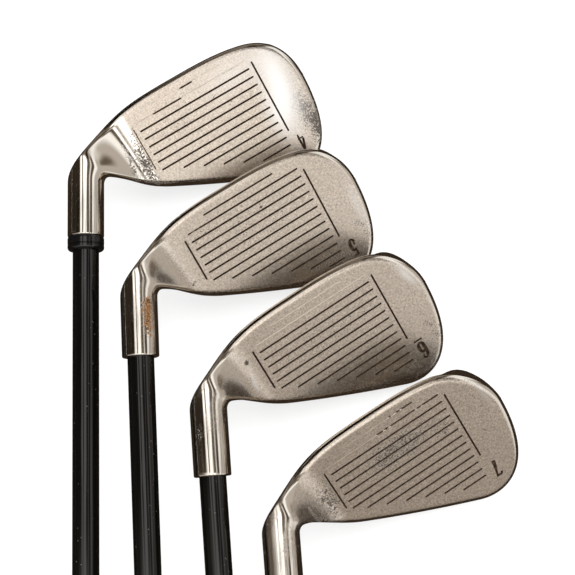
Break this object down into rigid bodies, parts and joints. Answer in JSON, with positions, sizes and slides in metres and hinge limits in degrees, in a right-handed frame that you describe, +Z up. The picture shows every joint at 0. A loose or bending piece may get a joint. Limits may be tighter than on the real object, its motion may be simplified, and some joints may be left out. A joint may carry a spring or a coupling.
{
  "type": "golf club set",
  "caption": "Cavity-back golf irons with short hosels, graphite shafts and rubber grips, lying face up and fanned out, each head over the next",
  "frame": {"origin": "middle of the lying set's outline, on the surface that the clubs lie on", "axes": "+Z up out of the club faces, +Y along the shafts from the grips towards the heads, +X towards the toes; the longest iron, 4, lies furthest to +Y"},
  "size_m": [0.1651, 1.0972, 0.038],
  "materials": {
    "steel_head": "cast stainless steel, satin face with worn patches, polished hosel and edges",
    "graphite_shaft": "black gloss lacquer over carbon fibre",
    "ferrule": "black gloss",
    "grip_rubber": "matt moulded rubber with a fine pattern",
    "cap_rubber": "smooth matt moulded rubber",
    "grip_tape": "paper tape, sticky on both sides",
    "tip_weight": "turned"
  },
  "bodies": {
    "club_4": {"iron_4_head": "steel_head", "iron_4_shaft": "graphite_shaft", "iron_4_grip": "grip_rubber", "iron_4_grip_cap": "cap_rubber", "iron_4_grip_tape": "grip_tape", "iron_4_tip_weight": "tip_weight", "iron_4_ferrule": "ferrule"},
    "club_5": {"iron_5_head": "steel_head", "iron_5_shaft": "graphite_shaft", "iron_5_grip": "grip_rubber", "iron_5_grip_cap": "cap_rubber", "iron_5_grip_tape": "grip_tape", "iron_5_tip_weight": "tip_weight"},
    "club_6": {"iron_6_head": "steel_head", "iron_6_shaft": "graphite_shaft", "iron_6_grip": "grip_rubber", "iron_6_grip_cap": "cap_rubber", "iron_6_grip_tape": "grip_tape", "iron_6_tip_weight": "tip_weight"},
    "club_7": {"iron_7_head": "steel_head", "iron_7_shaft": "graphite_shaft", "iron_7_grip": "grip_rubber", "iron_7_grip_cap": "cap_rubber", "iron_7_grip_tape": "grip_tape", "iron_7_tip_weight": "tip_weight"}
  },
  "joints": [
    {"name": "lift_iron_5", "type": "slide", "parent": "club_4", "child": "club_5", "axis": [0, 0, 1], "range_m": [0, 0.12]},
    {"name": "lift_iron_6", "type": "slide", "parent": "club_5", "child": "club_6", "axis": [0, 0, 1], "range_m": [0, 0.12]},
    {"name": "lift_iron_7", "type": "slide", "parent": "club_6", "child": "club_7", "axis": [0, 0, 1], "range_m": [0, 0.12]}
  ]
}
